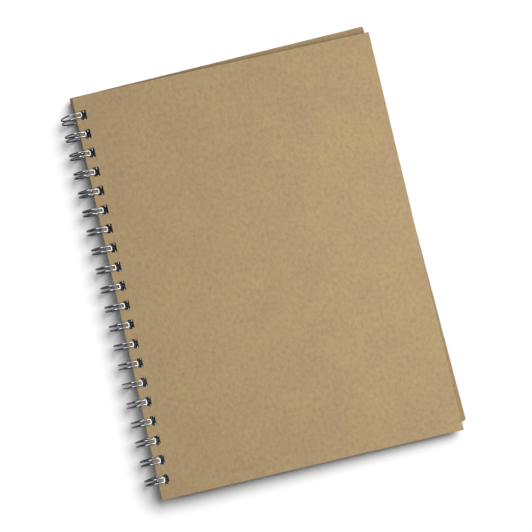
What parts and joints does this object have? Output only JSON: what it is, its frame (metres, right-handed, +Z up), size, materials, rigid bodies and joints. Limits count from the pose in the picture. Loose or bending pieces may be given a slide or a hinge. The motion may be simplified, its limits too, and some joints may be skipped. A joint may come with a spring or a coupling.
{
  "type": "sketchbook",
  "caption": "Wire-bound sketchbook lying closed: plain kraft board covers and drawing sheets that turn on a twin-loop wire comb.",
  "frame": {"origin": "on the table, under the middle of the closed book's bounding box", "axes": "+Y along the spine from tail to head, +X from the spine towards the fore edge, +Z up from the table; the book leans 1.03 degrees towards its fore edge, because the wire loops hold its spine up"},
  "size_m": [0.2111, 0.2724, 0.0164],
  "materials": {
    "front_board": "plain brown kraft board, matt",
    "back_board": "plain brown kraft board, matt",
    "drawing_paper": "uncoated off-white drawing paper, matt",
    "comb_wire": "bright nickel-plated steel wire"
  },
  "bodies": {
    "back_cover": {"back_cover": "back_board"},
    "sheet_20": {"sheet_20": "drawing_paper"},
    "sheet_19": {"sheet_19": "drawing_paper"},
    "sheet_18": {"sheet_18": "drawing_paper"},
    "sheet_17": {"sheet_17": "drawing_paper"},
    "sheet_16": {"sheet_16": "drawing_paper"},
    "sheet_15": {"sheet_15": "drawing_paper"},
    "sheet_14": {"sheet_14": "drawing_paper"},
    "sheet_13": {"sheet_13": "drawing_paper"},
    "sheet_12": {"sheet_12": "drawing_paper"},
    "sheet_11": {"sheet_11": "drawing_paper"},
    "sheet_10": {"sheet_10": "drawing_paper"},
    "sheet_09": {"sheet_09": "drawing_paper"},
    "sheet_08": {"sheet_08": "drawing_paper"},
    "sheet_07": {"sheet_07": "drawing_paper"},
    "sheet_06": {"sheet_06": "drawing_paper"},
    "sheet_05": {"sheet_05": "drawing_paper"},
    "sheet_04": {"sheet_04": "drawing_paper"},
    "sheet_03": {"sheet_03": "drawing_paper"},
    "sheet_02": {"sheet_02": "drawing_paper"},
    "sheet_01": {"sheet_01": "drawing_paper", "wire_comb": "comb_wire"},
    "front_cover": {"front_cover": "front_board"}
  },
  "joints": [
    {"name": "sheet_20_hinge", "type": "hinge", "parent": "back_cover", "child": "sheet_20", "pos_m": [-0.09743, -0.00184, 0.00825], "axis": [0, -1, 0], "range_deg": [0, 180]},
    {"name": "sheet_19_hinge", "type": "hinge", "parent": "sheet_20", "child": "sheet_19", "pos_m": [-0.09743, -0.00184, 0.00825], "axis": [0, -1, 0], "range_deg": [0, 180]},
    {"name": "sheet_18_hinge", "type": "hinge", "parent": "sheet_19", "child": "sheet_18", "pos_m": [-0.09743, -0.00184, 0.00825], "axis": [0, -1, 0], "range_deg": [0, 180]},
    {"name": "sheet_17_hinge", "type": "hinge", "parent": "sheet_18", "child": "sheet_17", "pos_m": [-0.09743, -0.00184, 0.00825], "axis": [0, -1, 0], "range_deg": [0, 180]},
    {"name": "sheet_16_hinge", "type": "hinge", "parent": "sheet_17", "child": "sheet_16", "pos_m": [-0.09743, -0.00184, 0.00825], "axis": [0, -1, 0], "range_deg": [0, 180]},
    {"name": "sheet_15_hinge", "type": "hinge", "parent": "sheet_16", "child": "sheet_15", "pos_m": [-0.09743, -0.00184, 0.00825], "axis": [0, -1, 0], "range_deg": [0, 180]},
    {"name": "sheet_14_hinge", "type": "hinge", "parent": "sheet_15", "child": "sheet_14", "pos_m": [-0.09743, -0.00184, 0.00825], "axis": [0, -1, 0], "range_deg": [0, 180]},
    {"name": "sheet_13_hinge", "type": "hinge", "parent": "sheet_14", "child": "sheet_13", "pos_m": [-0.09743, -0.00184, 0.00825], "axis": [0, -1, 0], "range_deg": [0, 180]},
    {"name": "sheet_12_hinge", "type": "hinge", "parent": "sheet_13", "child": "sheet_12", "pos_m": [-0.09743, -0.00184, 0.00825], "axis": [0, -1, 0], "range_deg": [0, 180]},
    {"name": "sheet_11_hinge", "type": "hinge", "parent": "sheet_12", "child": "sheet_11", "pos_m": [-0.09743, -0.00184, 0.00825], "axis": [0, -1, 0], "range_deg": [0, 180]},
    {"name": "sheet_10_hinge", "type": "hinge", "parent": "sheet_11", "child": "sheet_10", "pos_m": [-0.09743, -0.00184, 0.00825], "axis": [0, -1, 0], "range_deg": [0, 180]},
    {"name": "sheet_09_hinge", "type": "hinge", "parent": "sheet_10", "child": "sheet_09", "pos_m": [-0.09743, -0.00184, 0.00825], "axis": [0, -1, 0], "range_deg": [0, 180]},
    {"name": "sheet_08_hinge", "type": "hinge", "parent": "sheet_09", "child": "sheet_08", "pos_m": [-0.09743, -0.00184, 0.00825], "axis": [0, -1, 0], "range_deg": [0, 180]},
    {"name": "sheet_07_hinge", "type": "hinge", "parent": "sheet_08", "child": "sheet_07", "pos_m": [-0.09743, -0.00184, 0.00825], "axis": [0, -1, 0], "range_deg": [0, 180]},
    {"name": "sheet_06_hinge", "type": "hinge", "parent": "sheet_07", "child": "sheet_06", "pos_m": [-0.09743, -0.00184, 0.00825], "axis": [0, -1, 0], "range_deg": [0, 180]},
    {"name": "sheet_05_hinge", "type": "hinge", "parent": "sheet_06", "child": "sheet_05", "pos_m": [-0.09743, -0.00184, 0.00825], "axis": [0, -1, 0], "range_deg": [0, 180]},
    {"name": "sheet_04_hinge", "type": "hinge", "parent": "sheet_05", "child": "sheet_04", "pos_m": [-0.09743, -0.00184, 0.00825], "axis": [0, -1, 0], "range_deg": [0, 180]},
    {"name": "sheet_03_hinge", "type": "hinge", "parent": "sheet_04", "child": "sheet_03", "pos_m": [-0.09743, -0.00184, 0.00825], "axis": [0, -1, 0], "range_deg": [0, 180]},
    {"name": "sheet_02_hinge", "type": "hinge", "parent": "sheet_03", "child": "sheet_02", "pos_m": [-0.09743, -0.00184, 0.00825], "axis": [0, -1, 0], "range_deg": [0, 180]},
    {"name": "sheet_01_hinge", "type": "hinge", "parent": "sheet_02", "child": "sheet_01", "pos_m": [-0.09743, -0.00184, 0.00825], "axis": [0, -1, 0], "range_deg": [0, 180]},
    {"name": "front_cover_hinge", "type": "hinge", "parent": "sheet_01", "child": "front_cover", "pos_m": [-0.09743, -0.00184, 0.00825], "axis": [0, -1, 0], "range_deg": [0, 182.4]}
  ]
}
